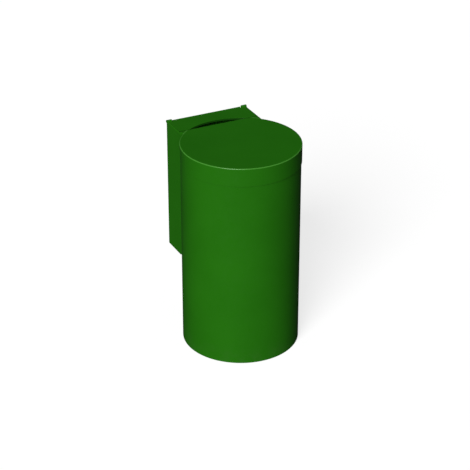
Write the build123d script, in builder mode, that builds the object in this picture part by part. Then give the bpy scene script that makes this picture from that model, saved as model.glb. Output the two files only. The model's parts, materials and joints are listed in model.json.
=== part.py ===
from build123d import *
import os

# Dog waste bin: a round sheet-metal container with a hinged lid and a removable pail, and behind it
# a rectangular housing, a magazine for dog bags, whose top cover is hinged and locked.
# Millimetres, +Z up. The origin is the centre of the base, on the container's axis. The front
# faces -Y, and the housing's back lies on a wall, towards +Y.

os.makedirs("parts", exist_ok=True)

# ---- container ----
body_radius = 150.0
body_height = 538.0
body_sheet = 1.5
rim_ring_width = 4.0
rim_ring_depth = 6.0
rim_ring_chamfer = 1.0
base_sheet = 1.5
base_flange = 15.0
drain_radius = 4.0
base_drain_circle = 90.0
base_drain_count = 6

# ---- bag pack, which sets the size of the housing ----
bag_width = 184.0
bag_height = 300.0
bag_thickness = 30.0
bag_clearance = 0.5

# ---- housing ----
housing_sheet = 2.0
housing_depth = 71.0
housing_side_room = 17.3
housing_headroom = 40.0
housing_bend = 3.0
housing_edge_radius = 1.5
side_front_rise = 14.0
panel_inset = 21.0
panel_top_gap = 0.3
housing_drain_spacing = 61.0
shelf_sheet = 1.5
shelf_height = 8.0
shelf_lip = 36.0
shelf_flange = 20.0
pack_front_gap = 5.5
divider_width = 90.0
divider_height = 200.0
divider_foot = 15.0

# ---- wall holes, and the holes in front of them for a screwdriver ----
wall_hole_radius = 4.5
wall_hole_spacing_x = 120.0
wall_hole_spacing_z = 220.0
access_radius = 11.0
plug_flange = 2.5
plug_sheet = 1.7
plug_depth = 4.0
plug_clearance = 0.2

# ---- lid ----
lid_sheet = 1.0
lid_headroom = 7.5
lid_side_gap = 0.8
skirt_clearance = 0.6
skirt_depth = 47.5
skirt_overlap = 1.0
skirt_relief_radius = 20.0
swing_room = 1.2
lid_edge_radius = 2.2
lid_corner_radius = 4.0
lid_rear_gap = 2.0
buffer_radius = 4.0
buffer_gap = 0.3
buffer_angles = (-90.0, -20.0, -160.0)

# ---- lid hinge ----
rod_radius = 3.0
rod_chamfer = 0.5
running_clearance = 0.06
fixed_clearance = 0.02
eye_play = 0.3
lid_eye_wall = 1.65
lid_eye_gap = 0.29
fixed_eye_wall = 1.35
lid_eye_length = 22.0
middle_eye_length = 30.0
fixed_eye_length = 26.0
eye_gap = 3.0
leaf_sheet = 1.5
leaf_length = 24.0
bracket_sheet = 1.5
bracket_drop = 14.0
bracket_leg = 28.0
rivet_radius = 2.4
rivet_head_radius = 4.0
rivet_head_height = 1.5
rivet_dome = 1.35
rivet_spacing = 14.0
retainer_length = 2.0

# ---- magazine cover and its hinge ----
cover_sheet = 2.0
cover_below_lid = 1.5
cover_front_gap = 1.3
cover_back_gap = 0.5
cover_side_gap = 0.5
cover_flange_depth = 8.0
cover_flange_sheet = 1.5
notch_radius_extra = 0.5
notch_lip_depth = 3.0
notch_lip_sheet = 1.5
notch_lip_start = 2.0
pin_radius = 2.5
pin_eye_wall = 1.44
pin_head_height = 1.0
cover_eye_length = 10.3
cover_eye_gap = 0.5
eye_side_gap = 2.0

# ---- cam lock ----
lock_from_wall = 16.0
lock_barrel_radius = 9.5
lock_barrel_clearance = 0.1
lock_head_rim = 2.0
lock_head_height = 2.2
lock_head_round = 1.1
lock_recess_radius = 7.0
lock_nut_wall = 2.5
lock_nut_height = 3.0
lock_thread_past_nut = 5.8
spindle_radius = 5.0
triangle_radius = 4.6
triangle_height = 2.0
cam_sheet = 2.5
cam_length = 22.0
cam_width = 11.0
cam_hub_radius = 7.0
cam_square = 7.0
cam_gap = 0.5
cam_top_gap = 2.0
cam_screw_radius = 2.4
cam_screw_head_radius = 4.5
cam_screw_head_height = 3.5
cam_screw_round = 1.2
cam_screw_recess = 1.75
cam_screw_length = 10.0
keeper_sheet = 1.5
keeper_width = 12.0
keeper_reach = 12.0
keeper_clearance = 0.3

# ---- pail ----
liner_gap = 10.5
liner_below_rim = 58.5
liner_sheet = 1.0
liner_rear_clearance = 11.0
liner_corner_radius = 20.0
hoop_width = 3.0
hoop_depth = 6.0
hoop_round = 1.0
handle_wire = 2.5
handle_span = 84.0
handle_drop = 40.0
handle_corner = 8.0
handle_stub = 20.0
handle_wall_gap = 11.0
handle_below_rim = 15.0
saddle_wall = 1.5
saddle_length = 10.0

# ---- places worked out from the sizes above ----
body_inner = body_radius - body_sheet
housing_half = bag_width / 2 + housing_side_room + housing_sheet
housing_front = body_radius - panel_inset
wall_y = housing_front + housing_depth
back_inner_y = wall_y - housing_sheet
side_inner = housing_half - housing_sheet
panel_back = housing_front + housing_sheet

lid_under = body_height + lid_headroom
lid_top = lid_under + lid_sheet
lid_radius = body_radius + skirt_clearance + lid_sheet
lid_half = side_inner - lid_side_gap
lid_rear = housing_front - lid_rear_gap
lid_eye_radius = rod_radius + running_clearance + lid_eye_wall
fixed_eye_radius = rod_radius + fixed_clearance + fixed_eye_wall
lid_rear_bend = lid_eye_radius + lid_eye_gap + lid_sheet
skirt_bottom = lid_top - skirt_depth
flange_low = body_height - skirt_overlap
hinge_y = lid_rear - lid_rear_bend
hinge_z = lid_top - lid_rear_bend

cover_top = lid_top - cover_below_lid
cover_under = cover_top - cover_sheet
cover_half = side_inner - cover_side_gap
cover_front = lid_rear + cover_front_gap
cover_back = back_inner_y - cover_back_gap
pin_eye_radius = pin_radius + running_clearance + pin_eye_wall
pin_y = wall_y - pin_eye_radius
pin_z = cover_top
panel_top = cover_under - panel_top_gap
eye_inner = cover_half - cover_eye_length

shelf_z = cover_top - housing_headroom - bag_height - bag_clearance - shelf_sheet
housing_bottom = shelf_z - shelf_height
housing_floor = housing_bottom + housing_sheet
pack_front = panel_back + pack_front_gap
pack_back = pack_front + bag_thickness
pack_bottom = shelf_z + shelf_sheet + bag_clearance

wall_hole_mid_z = (housing_bottom + cover_top) / 2
lock_y = wall_y - lock_from_wall
lock_z = cover_under - cam_top_gap - cam_length

liner_bottom = base_sheet
liner_top = body_height - liner_below_rim
liner_height = liner_top - liner_bottom
liner_radius = body_inner - liner_gap
liner_inner = liner_radius - liner_sheet
liner_rear = hinge_y - liner_rear_clearance
handle_x = liner_inner - handle_wall_gap
handle_z = liner_top - handle_below_rim

# the housing is cut from a block whose front lies wholly inside the container's circle
side_front = (body_radius**2 - housing_half**2) ** 0.5
block_front = side_front - housing_bend
far = 4 * body_radius  # longer than any piece, for cuts that pass right through


def finish(builder, name):
    """Labels a finished piece and writes it as its own file."""
    builder.part.label = name
    export_step(builder.part, f"parts/{name}.step")
    solids = builder.part.solids()
    print(name, len(solids), round(sum(s.volume for s in solids)))


def box_between(low, high, mode=Mode.ADD):
    """A box from its lowest corner to its highest."""
    size = [b - a for a, b in zip(low, high)]
    with Locations(tuple((a + b) / 2 for a, b in zip(low, high))):
        Box(*size, mode=mode)


def rod_along_x(x0, x1, y, z, radius, mode=Mode.ADD):
    """A round bar from x0 to x1."""
    with Locations(((x0 + x1) / 2, y, z)):
        Cylinder(radius, x1 - x0, rotation=(0, 90, 0), mode=mode)


def rod_along_y(y0, y1, x, z, radius, mode=Mode.ADD):
    """A round bar from y0 to y1."""
    with Locations((x, (y0 + y1) / 2, z)):
        Cylinder(radius, y1 - y0, rotation=(90, 0, 0), mode=mode)


def wall_hole_places():
    """The four wall holes, as pairs of x and z."""
    xs = (-wall_hole_spacing_x / 2, wall_hole_spacing_x / 2)
    zs = (wall_hole_mid_z - wall_hole_spacing_z / 2, wall_hole_mid_z + wall_hole_spacing_z / 2)
    return [(x, z) for x in xs for z in zs]


def eye_spans():
    """The lid hinge's eyes along X: the lid's three, and the two fixed ones between them."""
    fixed_start = middle_eye_length / 2 + eye_gap
    fixed_end = fixed_start + fixed_eye_length
    outer_start = fixed_end + eye_gap
    outer_end = outer_start + lid_eye_length
    middle = (-middle_eye_length / 2, middle_eye_length / 2)
    lid_spans = [(-outer_end, -outer_start), middle, (outer_start, outer_end)]
    fixed_spans = [(-fixed_end, -fixed_start), (fixed_start, fixed_end)]
    return lid_spans, fixed_spans


lid_spans, fixed_spans = eye_spans()
rod_half = lid_spans[2][1] + eye_play + retainer_length
rivet_z = hinge_z - bracket_drop - bracket_leg / 2
rivet_xs = [(a + b) / 2 + s * rivet_spacing / 2 for a, b in fixed_spans for s in (-1, 1)]


# ======== container ========

with BuildPart() as container_shell:
    with BuildSketch(Plane.XY):
        Circle(body_radius)
        Circle(body_inner, mode=Mode.SUBTRACT)
    extrude(amount=body_height)
    # above the housing's bottom the housing's front panel closes the tube's back
    box_between((-far, housing_front, housing_bottom), (far, far, far), Mode.SUBTRACT)
    # beside the hinge the rim is cut down, where the lid's rear bend turns below it
    swing_low = hinge_z - lid_rear_bend - swing_room
    box_between((-far, hinge_y - swing_room, swing_low), (far, far, far), Mode.SUBTRACT)
finish(container_shell, "container_shell")

with BuildPart() as rim_ring:
    with BuildSketch(Plane.XY.offset(body_height - rim_ring_depth)):
        Circle(body_inner)
        Circle(body_inner - rim_ring_width, mode=Mode.SUBTRACT)
    extrude(amount=rim_ring_depth)
    inner_edges = rim_ring.edges().filter_by(GeomType.CIRCLE)
    inner_edges = inner_edges.filter_by(lambda e: e.radius < body_inner - rim_ring_width / 2)
    chamfer(inner_edges, rim_ring_chamfer)
    box_between((-far, hinge_y - swing_room, 0), (far, far, far), Mode.SUBTRACT)
finish(rim_ring, "rim_ring")

with BuildPart() as container_base:
    with BuildSketch(Plane.XY):
        Circle(body_inner)
    extrude(amount=base_flange)
    with BuildSketch(Plane.XY.offset(base_sheet)):
        Circle(body_inner - base_sheet)
    extrude(amount=base_flange, mode=Mode.SUBTRACT)
    with PolarLocations(base_drain_circle, base_drain_count):
        Hole(drain_radius)
finish(container_base, "container_base")


# ======== housing ========

def housing_block(inset):
    """The housing's folded back, sides and bottom as a solid, or with an inset the space inside."""
    half = housing_half - inset
    back = wall_y - inset
    with BuildPart() as block:
        box_between((-half, block_front, housing_bottom + inset), (half, back, cover_top))
        upright = block.edges().filter_by(Axis.Z).group_by(Axis.Y)[-1]
        low = block.edges().filter_by(Axis.Y).group_by(Axis.Z)[0]
        low_back = block.edges().filter_by(Axis.X).group_by(Axis.Z)[0].sort_by(Axis.Y)[-1]
        fillet(upright + low + [low_back], housing_bend - inset)
    return block.part


def tube_front(radius, low):
    """A solid round bar on the container's axis, from a height upwards, flat at the front panel."""
    with BuildPart() as bar:
        with BuildSketch(Plane.XY.offset(low)):
            Circle(radius)
            with Locations((0, housing_front)):
                Rectangle(far, far, align=(Align.CENTER, Align.MIN), mode=Mode.SUBTRACT)
        extrude(amount=far)
    return bar.part


with BuildPart() as housing_shell:
    add(housing_block(0))
    top_sides = housing_shell.edges().filter_by(Axis.Y).group_by(Axis.Z)[-1]
    fillet(top_sides, housing_edge_radius)
    add(housing_block(housing_sheet), mode=Mode.SUBTRACT)
    # the bottom ends at the front panel, and ahead of it the sides' lower edges rise
    ahead_top = housing_bottom + housing_bend
    box_between(
        (-side_inner, block_front, housing_bottom), (side_inner, housing_front, ahead_top), Mode.SUBTRACT
    )
    with BuildSketch(Plane.YZ):
        with BuildLine():
            Polyline(
                (housing_front, housing_bottom),
                (side_front, housing_bottom + side_front_rise),
                (0, housing_bottom + side_front_rise),
                (0, housing_bottom),
                close=True,
            )
        make_face()
    extrude(amount=far, both=True, mode=Mode.SUBTRACT)
    # the sides end on the container's wall, and higher up clear of the lid's flange
    add(tube_front(body_radius, 0), mode=Mode.SUBTRACT)
    add(tube_front(lid_radius + swing_room, flange_low - swing_room), mode=Mode.SUBTRACT)
    # an ear on each side for the cover's hinge pin, and room in the corner for the cover's eye
    room_front = wall_y - housing_bend - housing_sheet
    room_low = pin_z - pin_eye_radius - cover_eye_gap
    for side in (-1, 1):
        x0, x1 = sorted((side * (eye_inner - eye_side_gap), side * far))
        box_between((x0, room_front, room_low), (x1, far, far), Mode.SUBTRACT)
        x0, x1 = sorted((side * side_inner, side * housing_half))
        box_between((x0, pin_y - pin_eye_radius, room_low), (x1, pin_y, pin_z))
        rod_along_x(x0, x1, pin_y, pin_z, pin_eye_radius)
    rod_along_x(-far, far, pin_y, pin_z, pin_radius + fixed_clearance, Mode.SUBTRACT)
    # the lock's hole, the wall holes and the drain holes
    rod_along_x(0, far, lock_y, lock_z, lock_barrel_radius + lock_barrel_clearance, Mode.SUBTRACT)
    for x, z in wall_hole_places():
        rod_along_y(panel_back, far, x, z, wall_hole_radius, Mode.SUBTRACT)
    with Locations(Plane.XY.offset(housing_floor)):
        drain_y = (panel_back + back_inner_y) / 2
        with Locations(*[(n * housing_drain_spacing, drain_y) for n in (-1, 0, 1)]):
            Hole(drain_radius, depth=2 * housing_sheet)
finish(housing_shell, "housing_shell")

with BuildPart() as housing_front_panel:
    box_between((-side_inner, housing_front, housing_floor), (side_inner, panel_back, panel_top))
    low_edges = housing_front_panel.edges().filter_by(Axis.Y).group_by(Axis.Z)[0]
    fillet(low_edges, housing_bend)
    for x, z in wall_hole_places():
        rod_along_y(0, far, x, z, access_radius, Mode.SUBTRACT)
    for x in rivet_xs:
        rod_along_y(0, far, x, rivet_z, rivet_radius + fixed_clearance, Mode.SUBTRACT)
finish(housing_front_panel, "housing_front_panel")

with BuildPart() as access_plugs:
    for x, z in wall_hole_places():
        barrel = access_radius - plug_clearance
        rod_along_y(housing_front - plug_sheet, housing_front, x, z, access_radius + plug_flange)
        rod_along_y(housing_front, housing_front + plug_depth, x, z, barrel)
        rod_along_y(housing_front, housing_front + plug_depth, x, z, barrel - plug_sheet, Mode.SUBTRACT)
finish(access_plugs, "access_plugs")

with BuildPart() as bag_shelf:
    half = bag_width / 2
    lip_back = pack_front - bag_clearance
    box_between((-half, lip_back - shelf_sheet, shelf_z), (half, back_inner_y, shelf_z + shelf_sheet))
    box_between((-half, lip_back - shelf_sheet, shelf_z), (half, lip_back, shelf_z + shelf_lip))
    box_between(
        (-half, back_inner_y - shelf_sheet, shelf_z),
        (half, back_inner_y, shelf_z + shelf_flange),
    )
finish(bag_shelf, "bag_shelf")

with BuildPart() as bag_divider:
    half = divider_width / 2
    front = pack_back + bag_clearance
    low = shelf_z + shelf_sheet
    box_between((-half, front, low), (half, front + shelf_sheet, low + divider_height))
    box_between((-half, front, low), (half, front + divider_foot, low + shelf_sheet))
finish(bag_divider, "bag_divider")

with BuildPart() as bag_pack:
    box_between(
        (-bag_width / 2, pack_front, pack_bottom),
        (bag_width / 2, pack_back, pack_bottom + bag_height),
    )
finish(bag_pack, "bag_pack")


# ======== lid ========

def lid_block(inset):
    """The lid's outer form as a solid, or with an inset the space inside its sheet."""
    with BuildPart() as block:
        with BuildSketch(Plane.XY.offset(skirt_bottom)) as plan:
            Circle(lid_radius - inset)
            with Locations((0, lid_rear - inset)):
                Rectangle(far, far, align=(Align.CENTER, Align.MIN), mode=Mode.SUBTRACT)
            Rectangle(2 * (lid_half - inset), lid_rear - inset, align=(Align.CENTER, Align.MIN))
            corners = plan.vertices().filter_by(lambda v: 0 < v.Y < hinge_y)
            fillet(corners, lid_corner_radius + inset)
        extrude(amount=skirt_depth - inset)
        rear_edge = block.faces().sort_by(Axis.Z)[-1].edges().sort_by(Axis.Y)[-1]
        fillet(rear_edge, lid_rear_bend - inset)
        top_edges = block.faces().sort_by(Axis.Z)[-1].edges()
        fillet(top_edges.filter_by(lambda e: e.center().Y < liner_rear), lid_edge_radius - inset)
    return block.part


with BuildPart() as lid_shell:
    add(lid_block(0))
    add(lid_block(lid_sheet), mode=Mode.SUBTRACT)
    # the rear edge is a quarter-round bend about the hinge's axis, open below it
    box_between((-far, hinge_y, 0), (far, far, hinge_z), Mode.SUBTRACT)
    # behind the container's middle the skirt is cut back to a low flange, so that it clears the rim
    # when the lid swings up
    with BuildSketch(Plane.YZ.offset(-far / 2)) as relief:
        Rectangle(far / 2, flange_low, align=(Align.MIN, Align.MIN))
        fillet(relief.vertices().sort_by(Axis.Z)[-2:].sort_by(Axis.Y)[0], skirt_relief_radius)
    extrude(amount=far, mode=Mode.SUBTRACT)
finish(lid_shell, "lid_shell")

with BuildPart() as lid_buffers:
    buffer_circle = body_inner - rim_ring_width
    with BuildSketch(Plane.XY.offset(body_height + buffer_gap)):
        for angle in buffer_angles:
            with Locations(Location((0, 0, 0), (0, 0, angle)) * Location((buffer_circle, 0, 0))):
                Circle(buffer_radius)
    extrude(amount=lid_headroom - buffer_gap)
finish(lid_buffers, "lid_buffers")

with BuildPart() as lid_hinge_leaves:
    for x0, x1 in lid_spans:
        rod_along_x(x0, x1, hinge_y, hinge_z, lid_eye_radius)
        box_between((x0, hinge_y - leaf_length, lid_under - leaf_sheet), (x1, hinge_y, lid_under))
    rod_along_x(-far, far, hinge_y, hinge_z, rod_radius + running_clearance, Mode.SUBTRACT)
finish(lid_hinge_leaves, "lid_hinge_leaves")

with BuildPart() as hinge_brackets:
    strap_front = hinge_y - fixed_eye_radius
    step_z = hinge_z - bracket_drop
    for x0, x1 in fixed_spans:
        rod_along_x(x0, x1, hinge_y, hinge_z, fixed_eye_radius)
        box_between((x0, strap_front, step_z), (x1, strap_front + bracket_sheet, hinge_z))
        box_between((x0, strap_front, step_z), (x1, housing_front, step_z + bracket_sheet))
        box_between(
            (x0, housing_front - bracket_sheet, step_z - bracket_leg),
            (x1, housing_front, step_z + bracket_sheet),
        )
    rod_along_x(-far, far, hinge_y, hinge_z, rod_radius + fixed_clearance, Mode.SUBTRACT)
    for x in rivet_xs:
        rod_along_y(0, far, x, rivet_z, rivet_radius + fixed_clearance, Mode.SUBTRACT)
finish(hinge_brackets, "hinge_brackets")

with BuildPart() as hinge_rivets:
    head_face = housing_front - bracket_sheet
    for x in rivet_xs:
        rod_along_y(head_face - rivet_head_height, head_face, x, rivet_z, rivet_head_radius)
        rod_along_y(head_face, panel_back, x, rivet_z, rivet_radius)
        rod_along_y(panel_back, panel_back + rivet_head_height, x, rivet_z, rivet_head_radius)
    domes = hinge_rivets.edges().filter_by(GeomType.CIRCLE).group_by(Axis.Y)
    fillet(domes[0] + domes[-1], rivet_dome)
finish(hinge_rivets, "hinge_rivets")

with BuildPart() as lid_hinge_rod:
    rod_along_x(-rod_half, rod_half, hinge_y, hinge_z, rod_radius)
    chamfer(lid_hinge_rod.edges().filter_by(GeomType.CIRCLE), rod_chamfer)
finish(lid_hinge_rod, "lid_hinge_rod")

with BuildPart() as rod_retainers:
    for side in (-1, 1):
        x0, x1 = sorted((side * (rod_half - retainer_length), side * (rod_half - rod_chamfer)))
        rod_along_x(x0, x1, hinge_y, hinge_z, fixed_eye_radius)
    rod_along_x(-far, far, hinge_y, hinge_z, rod_radius, Mode.SUBTRACT)
finish(rod_retainers, "rod_retainers")


# ======== magazine cover ========

with BuildPart() as magazine_cover:
    notch_radius = body_radius + notch_radius_extra
    lip_front = panel_back + notch_lip_start
    box_between((-cover_half, cover_front, cover_under), (cover_half, cover_back, cover_top))
    # the folded-down lip along the notch, kept clear of the front panel
    with BuildSketch(Plane.XY.offset(cover_under - notch_lip_depth)):
        Circle(notch_radius + notch_lip_sheet)
        with Locations((0, lip_front)):
            Rectangle(far, far, align=(Align.CENTER, Align.MAX), mode=Mode.SUBTRACT)
    extrude(amount=notch_lip_depth)
    with BuildSketch(Plane.XY):
        Circle(notch_radius)
    extrude(amount=far, mode=Mode.SUBTRACT)
    # flanges along the housing's sides, ending ahead of the lock's cam
    flange_back = lock_y - cam_length - keeper_clearance
    for side in (-1, 1):
        x0, x1 = sorted((side * (cover_half - cover_flange_sheet), side * cover_half))
        box_between((x0, lip_front, cover_under - cover_flange_depth), (x1, flange_back, cover_under))
    # hinge eyes in the rear corners, with room for the housing's ears beside them
    corner_y = pin_y - pin_eye_radius - cover_eye_gap
    for side in (-1, 1):
        x0, x1 = sorted((side * eye_inner, side * cover_half))
        gap_x0, gap_x1 = sorted((side * (eye_inner - eye_side_gap), side * far))
        box_between((gap_x0, corner_y, 0), (gap_x1, far, far), Mode.SUBTRACT)
        box_between((x0, corner_y, cover_under), (x1, pin_y, cover_top))
        rod_along_x(x0, x1, pin_y, pin_z, pin_eye_radius)
    rod_along_x(-far, far, pin_y, pin_z, pin_radius + running_clearance, Mode.SUBTRACT)
finish(magazine_cover, "magazine_cover")

with BuildPart() as cover_hinge_pins:
    for side in (-1, 1):
        x0, x1 = sorted((side * (eye_inner - eye_side_gap / 2), side * housing_half))
        rod_along_x(x0, x1, pin_y, pin_z, pin_radius)
        x0, x1 = sorted((side * housing_half, side * (housing_half + pin_head_height)))
        rod_along_x(x0, x1, pin_y, pin_z, pin_eye_radius)
finish(cover_hinge_pins, "cover_hinge_pins")


# ======== cam lock, in the housing's right side ========

lock_inner_end = side_inner - lock_nut_height - lock_thread_past_nut
cam_far = lock_inner_end - cam_gap
cam_near = cam_far - cam_sheet
cam_low_z = lock_z - cam_width / 2
keeper_front = lock_y - cam_length
keeper_x = lock_inner_end + cam_gap + keeper_sheet

with BuildPart() as lock_body:
    head_end = housing_half + lock_head_height
    rod_along_x(lock_inner_end, housing_half, lock_y, lock_z, lock_barrel_radius)
    rod_along_x(housing_half, head_end, lock_y, lock_z, lock_barrel_radius + lock_head_rim)
    fillet(lock_body.edges().filter_by(GeomType.CIRCLE).sort_by(Axis.X)[-1], lock_head_round)
    rod_along_x(head_end - triangle_height, head_end, lock_y, lock_z, lock_recess_radius, Mode.SUBTRACT)
    rod_along_x(0, far, lock_y, lock_z, spindle_radius + running_clearance, Mode.SUBTRACT)
finish(lock_body, "lock_body")

with BuildPart() as lock_nut:
    with BuildSketch(Plane.YZ.offset(side_inner - lock_nut_height)):
        with Locations((lock_y, lock_z)):
            RegularPolygon(lock_barrel_radius + lock_nut_wall, 6, major_radius=False, rotation=30)
            Circle(lock_barrel_radius + fixed_clearance, mode=Mode.SUBTRACT)
    extrude(amount=lock_nut_height)
finish(lock_nut, "lock_nut")

with BuildPart() as lock_spindle:
    face = housing_half + lock_head_height - triangle_height
    rod_along_x(cam_far, face, lock_y, lock_z, spindle_radius)
    with BuildSketch(Plane.YZ.offset(face)):
        with Locations((lock_y, lock_z)):
            RegularPolygon(triangle_radius, 3)
    extrude(amount=triangle_height)
    with BuildSketch(Plane.YZ.offset(cam_near)):
        with Locations((lock_y, lock_z)):
            Rectangle(cam_square, cam_square)
    extrude(amount=cam_sheet)
    bore = cam_screw_radius + fixed_clearance
    bore_end = cam_near + cam_screw_length + cam_gap
    rod_along_x(cam_near, bore_end, lock_y, lock_z, bore, Mode.SUBTRACT)
finish(lock_spindle, "lock_spindle")

with BuildPart() as lock_cam:
    with BuildSketch(Plane.YZ.offset(cam_near)):
        with Locations((lock_y, lock_z)):
            Circle(cam_hub_radius)
            Rectangle(cam_width, cam_length - cam_width / 2, align=(Align.CENTER, Align.MIN))
        with Locations((lock_y, lock_z + cam_length - cam_width / 2)):
            Circle(cam_width / 2)
        with Locations((lock_y, lock_z)):
            square = cam_square + 2 * fixed_clearance
            Rectangle(square, square, mode=Mode.SUBTRACT)
    extrude(amount=cam_sheet)
finish(lock_cam, "lock_cam")

with BuildPart() as cam_screw:
    rod_along_x(cam_near - cam_screw_head_height, cam_near, lock_y, lock_z, cam_screw_head_radius)
    rim = cam_screw.edges().filter_by(GeomType.CIRCLE).sort_by(Axis.X)[0]
    fillet(rim, cam_screw_round)
    rod_along_x(cam_near, cam_near + cam_screw_length, lock_y, lock_z, cam_screw_radius)
    with BuildSketch(Plane.YZ.offset(cam_near - cam_screw_head_height)):
        with Locations((lock_y, lock_z)):
            RegularPolygon(cam_screw_radius, 6)
    extrude(amount=cam_screw_recess, mode=Mode.SUBTRACT)
finish(cam_screw, "cam_screw")

with BuildPart() as cover_keeper:
    foot_top = cam_low_z - keeper_clearance
    foot_low = foot_top - keeper_sheet
    back = keeper_front + keeper_width
    box_between((keeper_x, keeper_front, foot_low), (keeper_x + keeper_sheet, back, cover_under))
    box_between((cam_near - cam_gap, keeper_front, foot_low), (keeper_x, back, foot_top))
    box_between(
        (keeper_x - keeper_reach, keeper_front, cover_under - keeper_sheet),
        (keeper_x, back, cover_under),
    )
finish(cover_keeper, "cover_keeper")


# ======== pail ========

def liner_outline(grow):
    """The pail's D-shaped plan, larger or smaller than its outside by the given amount."""
    with BuildSketch(Plane.XY) as outline:
        Circle(liner_radius + grow)
        with Locations((0, liner_rear + grow)):
            Rectangle(far, far, align=(Align.CENTER, Align.MIN), mode=Mode.SUBTRACT)
        fillet(outline.vertices(), liner_corner_radius + grow)
    return outline.sketch


with BuildPart() as liner_pail:
    outside = liner_outline(0)
    inside = liner_outline(-liner_sheet)
    with BuildSketch(Plane.XY.offset(liner_bottom)):
        add(outside)
    extrude(amount=liner_height)
    with BuildSketch(Plane.XY.offset(liner_bottom + liner_sheet)):
        add(inside)
    extrude(amount=liner_height, mode=Mode.SUBTRACT)
finish(liner_pail, "liner_pail")

with BuildPart() as liner_hoop:
    with BuildSketch(Plane.XY.offset(liner_top - hoop_depth)):
        add(liner_outline(hoop_width))
        add(outside, mode=Mode.SUBTRACT)
    extrude(amount=hoop_depth)
    outer_edges = liner_hoop.faces().sort_by(Axis.Z)[-1].outer_wire().edges()
    fillet(outer_edges, hoop_round)
finish(liner_hoop, "liner_hoop")

with BuildPart() as handle_saddles:
    nose = handle_wire + running_clearance + saddle_wall
    saddle_far = handle_span / 2 - handle_corner - eye_play
    for side in (-1, 1):
        for end in (-1, 1):
            y0 = min(end * saddle_far, end * (saddle_far - saddle_length))
            with BuildSketch(Plane(origin=(0, y0, 0), x_dir=(-1, 0, 0), z_dir=(0, 1, 0))):
                with Locations((-side * handle_x, handle_z)):
                    Circle(nose)
                    align = Align.MAX if side > 0 else Align.MIN
                    Rectangle(3 * handle_wall_gap, 2 * nose, align=(align, Align.CENTER))
                    Circle(handle_wire + running_clearance, mode=Mode.SUBTRACT)
            extrude(amount=saddle_length)
    with BuildSketch(Plane.XY):
        Circle(far)
        add(inside, mode=Mode.SUBTRACT)
    extrude(amount=far, mode=Mode.SUBTRACT)
finish(handle_saddles, "handle_saddles")


def drop_handle(side):
    """A wire handle hanging inside the pail from two short stubs on its pivot line."""
    x = side * handle_x
    half = handle_span / 2
    stub = half - handle_stub
    low = handle_z - handle_drop
    points = [(x, stub, handle_z), (x, half, handle_z), (x, half, low)]
    points += [(x, -y, z) for x, y, z in reversed(points)]
    with BuildPart() as handle:
        with BuildLine() as route:
            FilletPolyline(*points, radius=handle_corner)
        with BuildSketch(Plane(origin=points[0], z_dir=(0, 1, 0))):
            Circle(handle_wire)
        sweep(path=route.line)
    return handle


finish(drop_handle(-1), "liner_handle_left")
finish(drop_handle(1), "liner_handle_right")
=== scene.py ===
import json
import math
import random

import bmesh
import bpy
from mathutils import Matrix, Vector, noise


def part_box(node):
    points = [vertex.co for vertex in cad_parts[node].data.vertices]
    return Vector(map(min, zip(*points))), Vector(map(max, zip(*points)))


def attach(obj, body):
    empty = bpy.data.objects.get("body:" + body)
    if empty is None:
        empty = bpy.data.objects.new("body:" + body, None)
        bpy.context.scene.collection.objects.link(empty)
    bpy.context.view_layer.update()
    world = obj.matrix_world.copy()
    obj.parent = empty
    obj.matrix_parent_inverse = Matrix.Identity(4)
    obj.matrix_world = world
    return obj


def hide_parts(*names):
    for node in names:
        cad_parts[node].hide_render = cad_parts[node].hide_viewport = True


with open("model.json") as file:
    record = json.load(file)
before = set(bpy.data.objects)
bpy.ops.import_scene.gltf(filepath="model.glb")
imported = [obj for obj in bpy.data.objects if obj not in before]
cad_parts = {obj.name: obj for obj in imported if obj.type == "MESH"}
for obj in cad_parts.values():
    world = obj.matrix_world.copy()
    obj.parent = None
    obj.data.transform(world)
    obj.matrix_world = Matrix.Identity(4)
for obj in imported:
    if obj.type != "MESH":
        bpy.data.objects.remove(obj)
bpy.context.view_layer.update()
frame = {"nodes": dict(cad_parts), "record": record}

# The dog waste bin's looks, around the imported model. Metres, in the model's own frame.

MM = 0.001
nodes = frame["nodes"]
body_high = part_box("container_shell")[1]
lid_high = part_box("lid_shell")[1]
house_low, house_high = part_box("housing_shell")
joints = {joint["name"]: joint for joint in frame["record"]["behaviour"]["joints"]}
cover_top = joints["cover_hinge"]["pos_m"][2]


# ======== camera ========

camera_azimuth = math.radians(26.45)
camera_elevation = math.radians(28.15)
camera_distance = 4.1745
camera_aim_height = 0.2886
camera_aim_left = 0.015
camera_lens = 126.3
camera_shift = (0.0005, -0.0006)


def make_camera():
    """A long lens from the front left, looking down on the lid."""
    back = Vector((
        -math.sin(camera_azimuth) * math.cos(camera_elevation),
        -math.cos(camera_azimuth) * math.cos(camera_elevation),
        math.sin(camera_elevation),
    ))
    axis_point = Vector((0, 0, camera_aim_height))
    left = back.cross(Vector((0, 0, 1))).normalized()
    data = bpy.data.cameras.new("camera")
    data.sensor_width = 36
    data.lens = camera_lens
    data.shift_x, data.shift_y = camera_shift
    data.clip_end = 100
    camera = bpy.data.objects.new("camera", data)
    camera.location = axis_point + back * camera_distance
    aim = axis_point + left * camera_aim_left - camera.location
    camera.rotation_mode = "QUATERNION"
    camera.rotation_quaternion = aim.to_track_quat("-Z", "Y")
    bpy.context.scene.collection.objects.link(camera)
    bpy.context.scene.camera = camera


make_camera()


# ======== shader helpers ========

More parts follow.
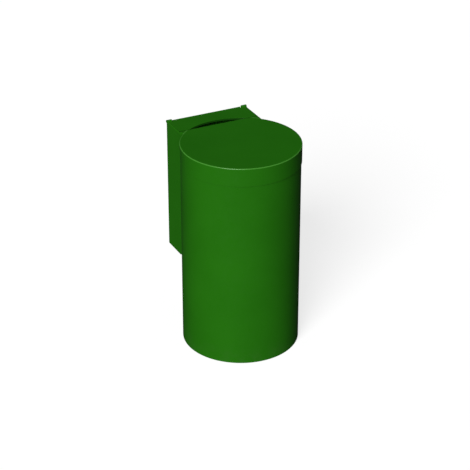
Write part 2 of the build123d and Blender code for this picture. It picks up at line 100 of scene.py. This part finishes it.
class Shader:
    """A node material with a Principled shader, and short ways to add nodes to it."""

    def __init__(self, name, roughness=0.5, metallic=0.0, specular=0.5):
        self.material = bpy.data.materials.new(name)
        self.material.use_nodes = True
        self.tree = self.material.node_tree
        self.tree.nodes.clear()
        self.output = self.tree.nodes.new("ShaderNodeOutputMaterial")
        self.surface = self.tree.nodes.new("ShaderNodeBsdfPrincipled")
        self.tree.links.new(self.surface.outputs[0], self.output.inputs["Surface"])
        self.surface.inputs["Roughness"].default_value = roughness
        self.surface.inputs["Metallic"].default_value = metallic
        self.surface.inputs["Specular IOR Level"].default_value = specular
        self.place = self.node("ShaderNodeTexCoord").outputs["Object"]

    def node(self, kind, **settings):
        """Adds a node and sets its attributes."""
        made = self.tree.nodes.new(kind)
        for key, value in settings.items():
            setattr(made, key, value)
        return made

    def link(self, source, target):
        self.tree.links.new(source, target)

    def feed(self, socket, value):
        """Sets a socket to a number or colour, or links another node's output to it."""
        if isinstance(value, bpy.types.NodeSocket):
            self.link(value, socket)
        else:
            socket.default_value = value

    def noise(self, scale, detail=2.0, roughness=0.5, place=None):
        made = self.node("ShaderNodeTexNoise")
        made.inputs["Scale"].default_value = scale
        made.inputs["Detail"].default_value = detail
        made.inputs["Roughness"].default_value = roughness
        self.link(place or self.place, made.inputs["Vector"])
        return made.outputs["Fac"]

    def cells(self, scale, place):
        """A random colour for each of the cells that fill space."""
        made = self.node("ShaderNodeTexVoronoi", feature="F1")
        made.inputs["Scale"].default_value = scale
        self.link(place, made.inputs["Vector"])
        return made.outputs["Color"]

    def stretched(self, x, y, z):
        """The place, scaled along each axis, for streaks and brushed grain."""
        made = self.node("ShaderNodeMapping")
        made.inputs["Scale"].default_value = (x, y, z)
        self.link(self.place, made.inputs["Vector"])
        return made.outputs["Vector"]

    def part(self, axis):
        """One coordinate of the place."""
        made = self.node("ShaderNodeSeparateXYZ")
        self.link(self.place, made.inputs[0])
        return made.outputs[axis]

    def spread(self, value, low, high, to_low=0.0, to_high=1.0):
        """Maps a range of values to another, and clamps it."""
        made = self.node("ShaderNodeMapRange")
        self.link(value, made.inputs["Value"])
        made.inputs["From Min"].default_value = low
        made.inputs["From Max"].default_value = high
        made.inputs["To Min"].default_value = to_low
        made.inputs["To Max"].default_value = to_high
        return made.outputs["Result"]

    def math(self, operation, a, b):
        made = self.node("ShaderNodeMath", operation=operation)
        self.feed(made.inputs[0], a)
        self.feed(made.inputs[1], b)
        return made.outputs[0]

    def mix(self, factor, a, b):
        made = self.node("ShaderNodeMix", data_type="RGBA")
        self.feed(made.inputs["Factor"], factor)
        self.feed(made.inputs["A"], a)
        self.feed(made.inputs["B"], b)
        return made.outputs["Result"]

    def edges(self, radius, low, high):
        """1 on sharp edges, 0 on flats, from the cosine between a rounded normal and the true one."""
        bevel = self.node("ShaderNodeBevel", samples=4)
        bevel.inputs["Radius"].default_value = radius
        true_normal = self.node("ShaderNodeNewGeometry").outputs["Normal"]
        dot = self.node("ShaderNodeVectorMath", operation="DOT_PRODUCT")
        self.link(bevel.outputs["Normal"], dot.inputs[0])
        self.link(true_normal, dot.inputs[1])
        return self.spread(dot.outputs["Value"], high, low)

    def bump(self, height, depth, strength, under=None):
        made = self.node("ShaderNodeBump")
        made.inputs["Strength"].default_value = strength
        made.inputs["Distance"].default_value = depth
        self.link(height, made.inputs["Height"])
        if under:
            self.link(under, made.inputs["Normal"])
        return made.outputs["Normal"]

    def colour(self, value):
        self.feed(self.surface.inputs["Base Color"], value)

    def rough(self, value):
        self.feed(self.surface.inputs["Roughness"], value)

    def normal(self, value):
        self.link(value, self.surface.inputs["Normal"])


# ======== materials ========

green = (0.0165, 0.153, 0.0034, 1)
green_deep = (0.0145, 0.141, 0.0028, 1)
# A paler green for the coat's grains and for its lighter edges, which are partly painted highlight.
green_pale = (0.050, 0.250, 0.022, 1)
dust = (0.085, 0.13, 0.055, 1)
# Painted shade colour, for the recess under the cover's top face.
recess_shade_colour = (0.006, 0.042, 0.003, 1)
# Painted highlight colour, for the lid's rounded rim.
rim_highlight_colour = (0.062, 0.265, 0.031, 1)
dust_height = 0.05
dust_strength = 0.16
grain_strength = 0.10
edge_lightening_radius = 1.2 * MM
lid_rounding = 2.4 * MM
lip_below_cover = 0.3 * MM


def powder_coat(name, edge_wear_and_highlight=0.35, shaded_below=None, painted_rim_highlight=None):
    """Semi-gloss green powder coat: orange peel, faint cloudiness, dust low down, and lighter edges that
    are partly rubbed coat and partly painted highlight.

    Below the given height, if there is one, the coat is darkened as painted shade, for the recess under
    the cover's top face.
    The rim entry, if there is one, gives a round edge's radius, height and rounding, where a paler band
    is painted as a highlight on the rounded rim.
    """
    s = Shader(name, specular=0.35)
    clouds = s.spread(s.noise(7.0, detail=4.0), 0.35, 0.65)
    tone = s.mix(clouds, green_deep, green)
    grains = s.spread(s.noise(1700.0, detail=1.0), 0.62, 0.74)
    tone = s.mix(s.math("MULTIPLY", grains, grain_strength), tone, green_pale)
    low = s.spread(s.part("Z"), dust_height, 0.0)
    patchy = s.spread(s.noise(38.0, detail=5.0, roughness=0.65), 0.42, 0.75)
    dusty = s.math("MULTIPLY", s.math("MULTIPLY", low, patchy), dust_strength)
    tone = s.mix(dusty, tone, dust)
    # Lighter edges: partly rubbed coat, partly a painted highlight where the rounded edges catch the
    # light.
    edge_patches = s.spread(s.noise(90.0, detail=4.0), 0.35, 0.7, 0.25, 1.0)
    edge = s.math("MULTIPLY", s.edges(edge_lightening_radius, 0.80, 0.97), edge_patches)
    tone = s.mix(s.math("MULTIPLY", edge, edge_wear_and_highlight), tone, green_pale)
    # Painted highlight: a paler band along the lid's rounded top edge, standing in for the light that
    # the rim catches.
    if painted_rim_highlight is not None:
        radius, top, rounding = painted_rim_highlight
        flat = s.node("ShaderNodeVectorMath", operation="MULTIPLY")
        s.link(s.place, flat.inputs[0])
        flat.inputs[1].default_value = (1, 1, 0)
        away = s.node("ShaderNodeVectorMath", operation="LENGTH")
        s.link(flat.outputs[0], away.inputs[0])
        outer = s.spread(away.outputs["Value"], radius - rounding, radius - 0.6 * rounding)
        within = s.spread(away.outputs["Value"], radius + 0.8 * MM, radius + 0.4 * MM)
        upper = s.spread(s.part("Z"), top - rounding, top - 0.6 * rounding)
        streaky = s.spread(s.noise(45.0, detail=3.0), 0.3, 0.7, 0.75, 1.0)
        rim = s.math("MULTIPLY", s.math("MULTIPLY", outer, within), s.math("MULTIPLY", upper, streaky))
        tone = s.mix(rim, tone, rim_highlight_colour)
    if shaded_below is not None:
        # Painted shade: the coat is darkened below the given height, where the recess under the cover's
        # top face lies in shade.
        recess_shade_amount = s.spread(s.part("Z"), shaded_below, shaded_below - 0.5 * MM, 0.0, 0.85)
        tone = s.mix(recess_shade_amount, tone, recess_shade_colour)
    s.colour(tone)
    scuffs = s.spread(s.noise(60.0, detail=6.0, roughness=0.7), 0.3, 0.75, 0.27, 0.38)
    s.rough(scuffs)
    peel = s.noise(420.0, detail=1.5)
    fine = s.noise(1500.0, detail=1.0)
    s.normal(s.bump(fine, 0.012 * MM, 0.5, under=s.bump(peel, 0.05 * MM, 0.5)))
    return s.material


spangle_scale = 140.0
spangle_wobble = 0.012


def galvanised():
    """Hot-dip zinc with its spangle of crystals, whose borders wobble."""
    s = Shader("galvanised_zinc", metallic=0.45)
    wobble = s.node("ShaderNodeVectorMath", operation="ADD")
    s.link(s.place, wobble.inputs[0])
    scatter = s.node("ShaderNodeTexNoise")
    scatter.inputs["Scale"].default_value = 60.0
    shrink = s.node("ShaderNodeVectorMath", operation="SCALE")
    s.link(s.place, scatter.inputs["Vector"])
    s.link(scatter.outputs["Color"], shrink.inputs[0])
    shrink.inputs["Scale"].default_value = spangle_wobble
    s.link(shrink.outputs[0], wobble.inputs[1])
    crystal = s.cells(spangle_scale, wobble.outputs[0])
    shade = s.node("ShaderNodeSeparateColor")
    s.link(crystal, shade.inputs[0])
    grey = s.spread(shade.outputs[0], 0.0, 1.0)
    s.colour(s.mix(grey, (0.50, 0.52, 0.53, 1), (0.64, 0.66, 0.67, 1)))
    s.rough(s.spread(shade.outputs[1], 0.0, 1.0, 0.40, 0.56))
    s.normal(s.bump(s.noise(260.0, detail=3.0), 0.05 * MM, 0.5))
    return s.material


def zinc_plate():
    """Bright zinc plating on turned and stamped steel, with fine streaks."""
    s = Shader("zinc_plated_steel", metallic=0.7)
    streaks = s.noise(900.0, detail=2.0, place=s.stretched(0.08, 1.0, 1.0))
    s.colour(s.mix(s.spread(streaks, 0.3, 0.7), (0.50, 0.50, 0.47, 1), (0.68, 0.68, 0.66, 1)))
    s.rough(s.spread(s.noise(300.0, detail=4.0), 0.3, 0.7, 0.24, 0.42))
    s.normal(s.bump(streaks, 0.01 * MM, 0.5))
    return s.material


def satin_nickel():
    """The lock's plated brass."""
    s = Shader("satin_nickel", metallic=0.7)
    turned = s.noise(1500.0, detail=1.0, place=s.stretched(1.0, 0.15, 0.15))
    s.colour(s.mix(s.spread(turned, 0.3, 0.7), (0.60, 0.58, 0.54, 1), (0.72, 0.70, 0.66, 1)))
    s.rough(s.spread(s.noise(240.0, detail=3.0), 0.3, 0.7, 0.18, 0.30))
    s.normal(s.bump(turned, 0.006 * MM, 0.5))
    return s.material


def black_plastic():
    """Moulded polyethylene with a fine spark-eroded grain."""
    s = Shader("black_polyethylene")
    s.colour(s.mix(s.noise(180.0, detail=3.0), (0.018, 0.018, 0.019, 1), (0.035, 0.035, 0.036, 1)))
    s.rough(s.spread(s.noise(700.0), 0.3, 0.7, 0.42, 0.58))
    s.normal(s.bump(s.noise(2400.0, detail=1.0), 0.02 * MM, 0.6))
    return s.material


def black_rubber():
    """Matt rubber with a faint bloom."""
    s = Shader("black_rubber")
    bloom = s.spread(s.noise(500.0, detail=5.0, roughness=0.7), 0.45, 0.8)
    s.colour(s.mix(bloom, (0.014, 0.014, 0.014, 1), (0.05, 0.05, 0.048, 1)))
    s.rough(s.spread(bloom, 0.0, 1.0, 0.72, 0.9))
    s.normal(s.bump(s.noise(1200.0, detail=2.0), 0.04 * MM, 0.7))
    return s.material


def bag_film():
    """Thin black polyethylene film with a soft gloss, creased."""
    s = Shader("bag_film")
    creases = s.noise(55.0, detail=6.0, roughness=0.62, place=s.stretched(1.0, 1.0, 0.45))
    s.colour(s.mix(s.spread(creases, 0.3, 0.7), (0.010, 0.013, 0.012, 1), (0.028, 0.034, 0.031, 1)))
    s.rough(s.spread(s.noise(130.0, detail=4.0), 0.3, 0.7, 0.30, 0.48))
    s.normal(s.bump(creases, 1.2 * MM, 0.6))
    return s.material


def kraft_card():
    """Brown card of the bag pack's header, with loose fibres."""
    s = Shader("kraft_card")
    fibres = s.noise(650.0, detail=5.0, roughness=0.7, place=s.stretched(0.3, 1.0, 1.0))
    s.colour(s.mix(s.spread(fibres, 0.3, 0.7), (0.21, 0.125, 0.062, 1), (0.34, 0.22, 0.12, 1)))
    s.rough(s.spread(fibres, 0.3, 0.7, 0.8, 0.95))
    s.normal(s.bump(fibres, 0.05 * MM, 0.6))
    return s.material


coat = powder_coat("green_powder_coat")
zinc = zinc_plate()
film = bag_film()
card = kraft_card()
by_slot = {
    "green_coat": coat,
    "galvanised": galvanised(),
    "zinc_steel": zinc,
    "lock_chrome": satin_nickel(),
    "black_plastic": black_plastic(),
    "black_rubber": black_rubber(),
    "bag_film": film,
}
by_node = {
    # The lid's coat carries a painted highlight along its rounded rim.
    "lid_shell": powder_coat("lid_powder_coat", painted_rim_highlight=(lid_high.x, lid_high.z, lid_rounding)),
    # The cover's coat carries painted shade below its top face.
    "magazine_cover": powder_coat(
        "cover_powder_coat", edge_wear_and_highlight=0.1, shaded_below=cover_top - lip_below_cover
    ),
}
for subpart in frame["record"]["subparts"]:
    name = subpart["node"]
    for material_slot in nodes[name].material_slots:
        material_slot.material = by_node.get(name) or by_slot[subpart["material_slot"]]


# ======== mesh helpers ========

def new_piece(name, bm, material, body):
    """Turns a finished bmesh into a piece of the object."""
    bmesh.ops.recalc_face_normals(bm, faces=bm.faces)
    mesh = bpy.data.meshes.new(name)
    bm.to_mesh(mesh)
    bm.free()
    for polygon in mesh.polygons:
        polygon.use_smooth = True
    mesh.materials.append(material)
    made = bpy.data.objects.new(name, mesh)
    bpy.context.scene.collection.objects.link(made)
    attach(made, body)
    return made


tube_sides = 8


def add_tube(bm, path, radii, reference):
    """A closed round tube along a path, with a radius for each of the path's points."""
    rings = []
    for n, (point, radius) in enumerate(zip(path, radii)):
        ahead = (path[min(n + 1, len(path) - 1)] - path[max(n - 1, 0)]).normalized()
        across = ahead.cross(reference).normalized()
        up = across.cross(ahead)
        turns = [2 * math.pi * k / tube_sides for k in range(tube_sides)]
        rings.append([
            bm.verts.new(point + (across * math.cos(t) + up * math.sin(t)) * radius) for t in turns
        ])
    for a, b in zip(rings, rings[1:]):
        for k in range(tube_sides):
            m = (k + 1) % tube_sides
            bm.faces.new([a[k], a[m], b[m], b[k]])
    bm.faces.new(rings[0][::-1])
    bm.faces.new(rings[-1])


# ======== welds ========

weld_radius = 1.5 * MM
weld_ripple = 3.0 * MM
weld_step = 0.6 * MM
weld_length = 34 * MM
weld_count = 5
weld_wander = 0.25 * MM
weld_above_bottom = 20 * MM
weld_below_top = 14 * MM


def weld_beads():
    """Stitch welds on each side, where the housing's side plate stands on the container's wall."""
    bm = bmesh.new()
    corner_y = math.sqrt(body_high.x ** 2 - house_high.x ** 2)
    low, high = house_low.z + weld_above_bottom, body_high.z - weld_below_top
    pitch = (high - low - weld_length) / (weld_count - 1)
    steps = round(weld_length / weld_step)
    for side in (-1, 1):
        for n in range(weld_count):
            path, radii = [], []
            for k in range(steps + 1):
                z = low + n * pitch + k * weld_step
                wander = noise.noise(Vector((side, 7 * n, z * 160))) * weld_wander
                path.append(Vector((side * house_high.x, corner_y + wander, z)))
                ends = min(1, 0.25 + 6 * min(k, steps - k) / steps)
                ripple = abs(math.sin(math.pi * z / weld_ripple))
                radii.append(weld_radius * ends * (0.86 + 0.2 * ripple))
            add_tube(bm, path, radii, Vector((1, 0, 0)))
    new_piece("weld_beads", bm, coat, "root")


weld_beads()


# ======== bag pack ========

leaf_count = 16
leaf_columns = 24
leaf_rows = 36
leaf_inset = 1 * MM
leaf_shortfall = 3 * MM
leaf_sag = 2.2 * MM
leaf_side_wear = 1.2 * MM
leaf_ripple = 0.18


def leaf(bm, low, high, seed):
    """One flat bag of the pack: a thin closed sheet whose faces ripple and whose upper edge is loose."""
    columns, rows = leaf_columns, leaf_rows
    thickness = high.y - low.y
    grid = {}
    for side in (0, 1):
        for i in range(columns + 1):
            for j in range(rows + 1):
                u, v = i / columns, j / rows
                ripple = noise.noise(Vector((u * 5, v * 4, seed * 3.7)))
                edge = noise.noise(Vector((u * 9, seed * 5.1, 0)))
                side_edge = noise.noise(Vector((v * 7, seed * 2.3, 8)))
                sag = v * (0.9 + edge) * leaf_sag
                inwards = abs(2 * u - 1) ** 6 * (1 + side_edge) * leaf_side_wear
                x = low.x + u * (high.x - low.x) - math.copysign(1, u - 0.5) * inwards
                z = low.z + v * (high.z - low.z) - sag
                pinch = 0.5 - 0.32 * (1 - abs(2 * u - 1) ** 8) * (1 - (2 * v - 1) ** 8)
                middle = (low.y + high.y) / 2 + ripple * thickness * leaf_ripple
                y = middle + (2 * side - 1) * thickness * (0.5 - pinch * 0.35)
                grid[side, i, j] = bm.verts.new((x, min(max(y, low.y), high.y), z))
    for i in range(columns):
        for j in range(rows):
            front = [grid[0, i, j], grid[0, i + 1, j], grid[0, i + 1, j + 1], grid[0, i, j + 1]]
            rear = [grid[1, i, j], grid[1, i, j + 1], grid[1, i + 1, j + 1], grid[1, i + 1, j]]
            bm.faces.new(front)
            bm.faces.new(rear)
    rim = [(i, 0) for i in range(columns)] + [(columns, j) for j in range(rows)]
    rim += [(i, rows) for i in range(columns, 0, -1)] + [(0, j) for j in range(rows, 0, -1)]
    for a, b in zip(rim, rim[1:] + rim[:1]):
        bm.faces.new([grid[0, *b], grid[0, *a], grid[1, *a], grid[1, *b]])


card_sheet = 0.6 * MM
card_height = 38 * MM
card_fold = 1.5 * MM
card_columns = 46
card_edge_wear = 0.04
staple_radius = 0.3 * MM
staple_length = 12 * MM
staple_spacing = 110 * MM
staple_height = 0.7 * card_height
card_gap = card_sheet + 2 * staple_radius


def header_card(low, high):
    """The card folded around the pack's lower end, with a wavy upper edge."""
    bm = bmesh.new()
    y0, y1 = low.y + 2 * staple_radius, high.y - 2 * staple_radius
    half = []
    for inset in (0, card_sheet):
        f = card_fold - inset
        side = [(y0 + inset, card_height), (y0 + inset, card_height / 2), (y0 + inset, inset + f)]
        side += [(y0 + inset + 0.3 * f, inset + 0.3 * f), (y0 + inset + f, inset)]
        half.append(side + [(y0 + y1 - y, z) for y, z in side[::-1]])
    profile = half[0] + half[1][::-1]
    rings = []
    for i in range(card_columns + 1):
        x = low.x + i / card_columns * (high.x - low.x)
        ring = []
        for y, z in profile:
            worn = noise.noise(Vector((x * 70, y * 9, 4))) * z / card_height
            ring.append(bm.verts.new((x, y, low.z + z - (0.5 + 0.5 * worn) * z * card_edge_wear)))
        rings.append(ring)
    for a, b in zip(rings, rings[1:]):
        for k in range(len(profile)):
            m = (k + 1) % len(profile)
            bm.faces.new([a[k], a[m], b[m], b[k]])
    for ring in (rings[0], rings[-1]):
        for k in range(len(profile) // 2 - 1):
            bm.faces.new([ring[k], ring[k + 1], ring[-k - 2], ring[-k - 1]])
    new_piece("header_card", bm, card, "root")


def staples(low, high):
    """Two wire staples through the card's front, with their ends bent in."""
    bm = bmesh.new()
    front = low.y + staple_radius
    z = low.z + staple_height
    for side in (-1, 1):
        middle = (low.x + high.x) / 2 + side * staple_spacing / 2
        reach = staple_length / 2
        points = [(-reach, 1.2 * MM), (-reach, 0.5 * MM), (0.15 * MM - reach, 0.15 * MM)]
        points += [(0.5 * MM - reach, 0)]
        points += [(-u, v) for u, v in points[::-1]]
        path = [Vector((middle + u, front + v, z)) for u, v in points]
        add_tube(bm, path, [staple_radius] * len(path), Vector((0, 0, 1)))
    new_piece("header_staples", bm, zinc, "root")


def bag_pack():
    """A pack of flat bags standing in its folded card header."""
    low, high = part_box("bag_pack")
    depth = (high.y - low.y - 2 * card_gap) / leaf_count
    bm = bmesh.new()
    for k in range(leaf_count):
        y = low.y + card_gap + k * depth
        short = random.Random(k).uniform(0, leaf_shortfall)
        leaf_low = Vector((low.x + leaf_inset, y, low.z + card_sheet))
        leaf(bm, leaf_low, Vector((high.x - leaf_inset, y + depth, high.z - short)), k + 1)
    leaves = new_piece("bag_leaves", bm, film, "root")
    header_card(low, high)
    staples(low, high)
    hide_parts("bag_pack")


bag_pack()


# ======== stage and light ========

floor_size = 60
floor_glow = 0.75
ambient_light = 0.136
mirrored_light = 0.012


def make_floor():
    """A large pale floor that takes the object's soft shadow and throws no light back at it."""
    bpy.ops.mesh.primitive_plane_add(size=floor_size, location=(0, 0, 0))
    floor = bpy.context.object
    floor.name = "floor"
    s = Shader("pale_floor", roughness=0.9, specular=0.0)
    s.colour(s.mix(s.noise(3.0), (0.34, 0.34, 0.34, 1), (0.36, 0.36, 0.36, 1)))
    s.surface.inputs["Emission Color"].default_value = (1, 1, 1, 1)
    s.surface.inputs["Emission Strength"].default_value = floor_glow
    floor.data.materials.append(s.material)
    floor.visible_diffuse = False
    floor.visible_glossy = False


def make_sun(name, azimuth, elevation, strength, spread):
    """A far light as wide as a large softbox. Azimuth is measured from the front towards the left."""
    data = bpy.data.lights.new(name, "SUN")
    data.energy = strength
    data.angle = math.radians(spread)
    sun = bpy.data.objects.new(name, data)
    a, e = math.radians(azimuth), math.radians(elevation)
    towards = Vector((-math.sin(a) * math.cos(e), -math.cos(a) * math.cos(e), math.sin(e)))
    sun.rotation_mode = "QUATERNION"
    sun.rotation_quaternion = towards.to_track_quat("Z", "Y")
    bpy.context.scene.collection.objects.link(sun)


def make_world():
    """An even white surround, dim in reflections, so that the paint keeps its full colour."""
    world = bpy.data.worlds.new("studio")
    world.use_nodes = True
    tree = world.node_tree
    background = tree.nodes["Background"]
    background.inputs["Color"].default_value = (1, 1, 1, 1)
    strength = tree.nodes.new("ShaderNodeMapRange")
    strength.inputs["To Min"].default_value = ambient_light
    strength.inputs["To Max"].default_value = mirrored_light
    path = tree.nodes.new("ShaderNodeLightPath")
    tree.links.new(path.outputs["Is Glossy Ray"], strength.inputs["Value"])
    tree.links.new(strength.outputs["Result"], background.inputs["Strength"])
    bpy.context.scene.world = world


make_floor()
make_sun("key", azimuth=45, elevation=33, strength=3.54, spread=30)
make_world()
bpy.context.scene.view_settings.view_transform = "Standard"
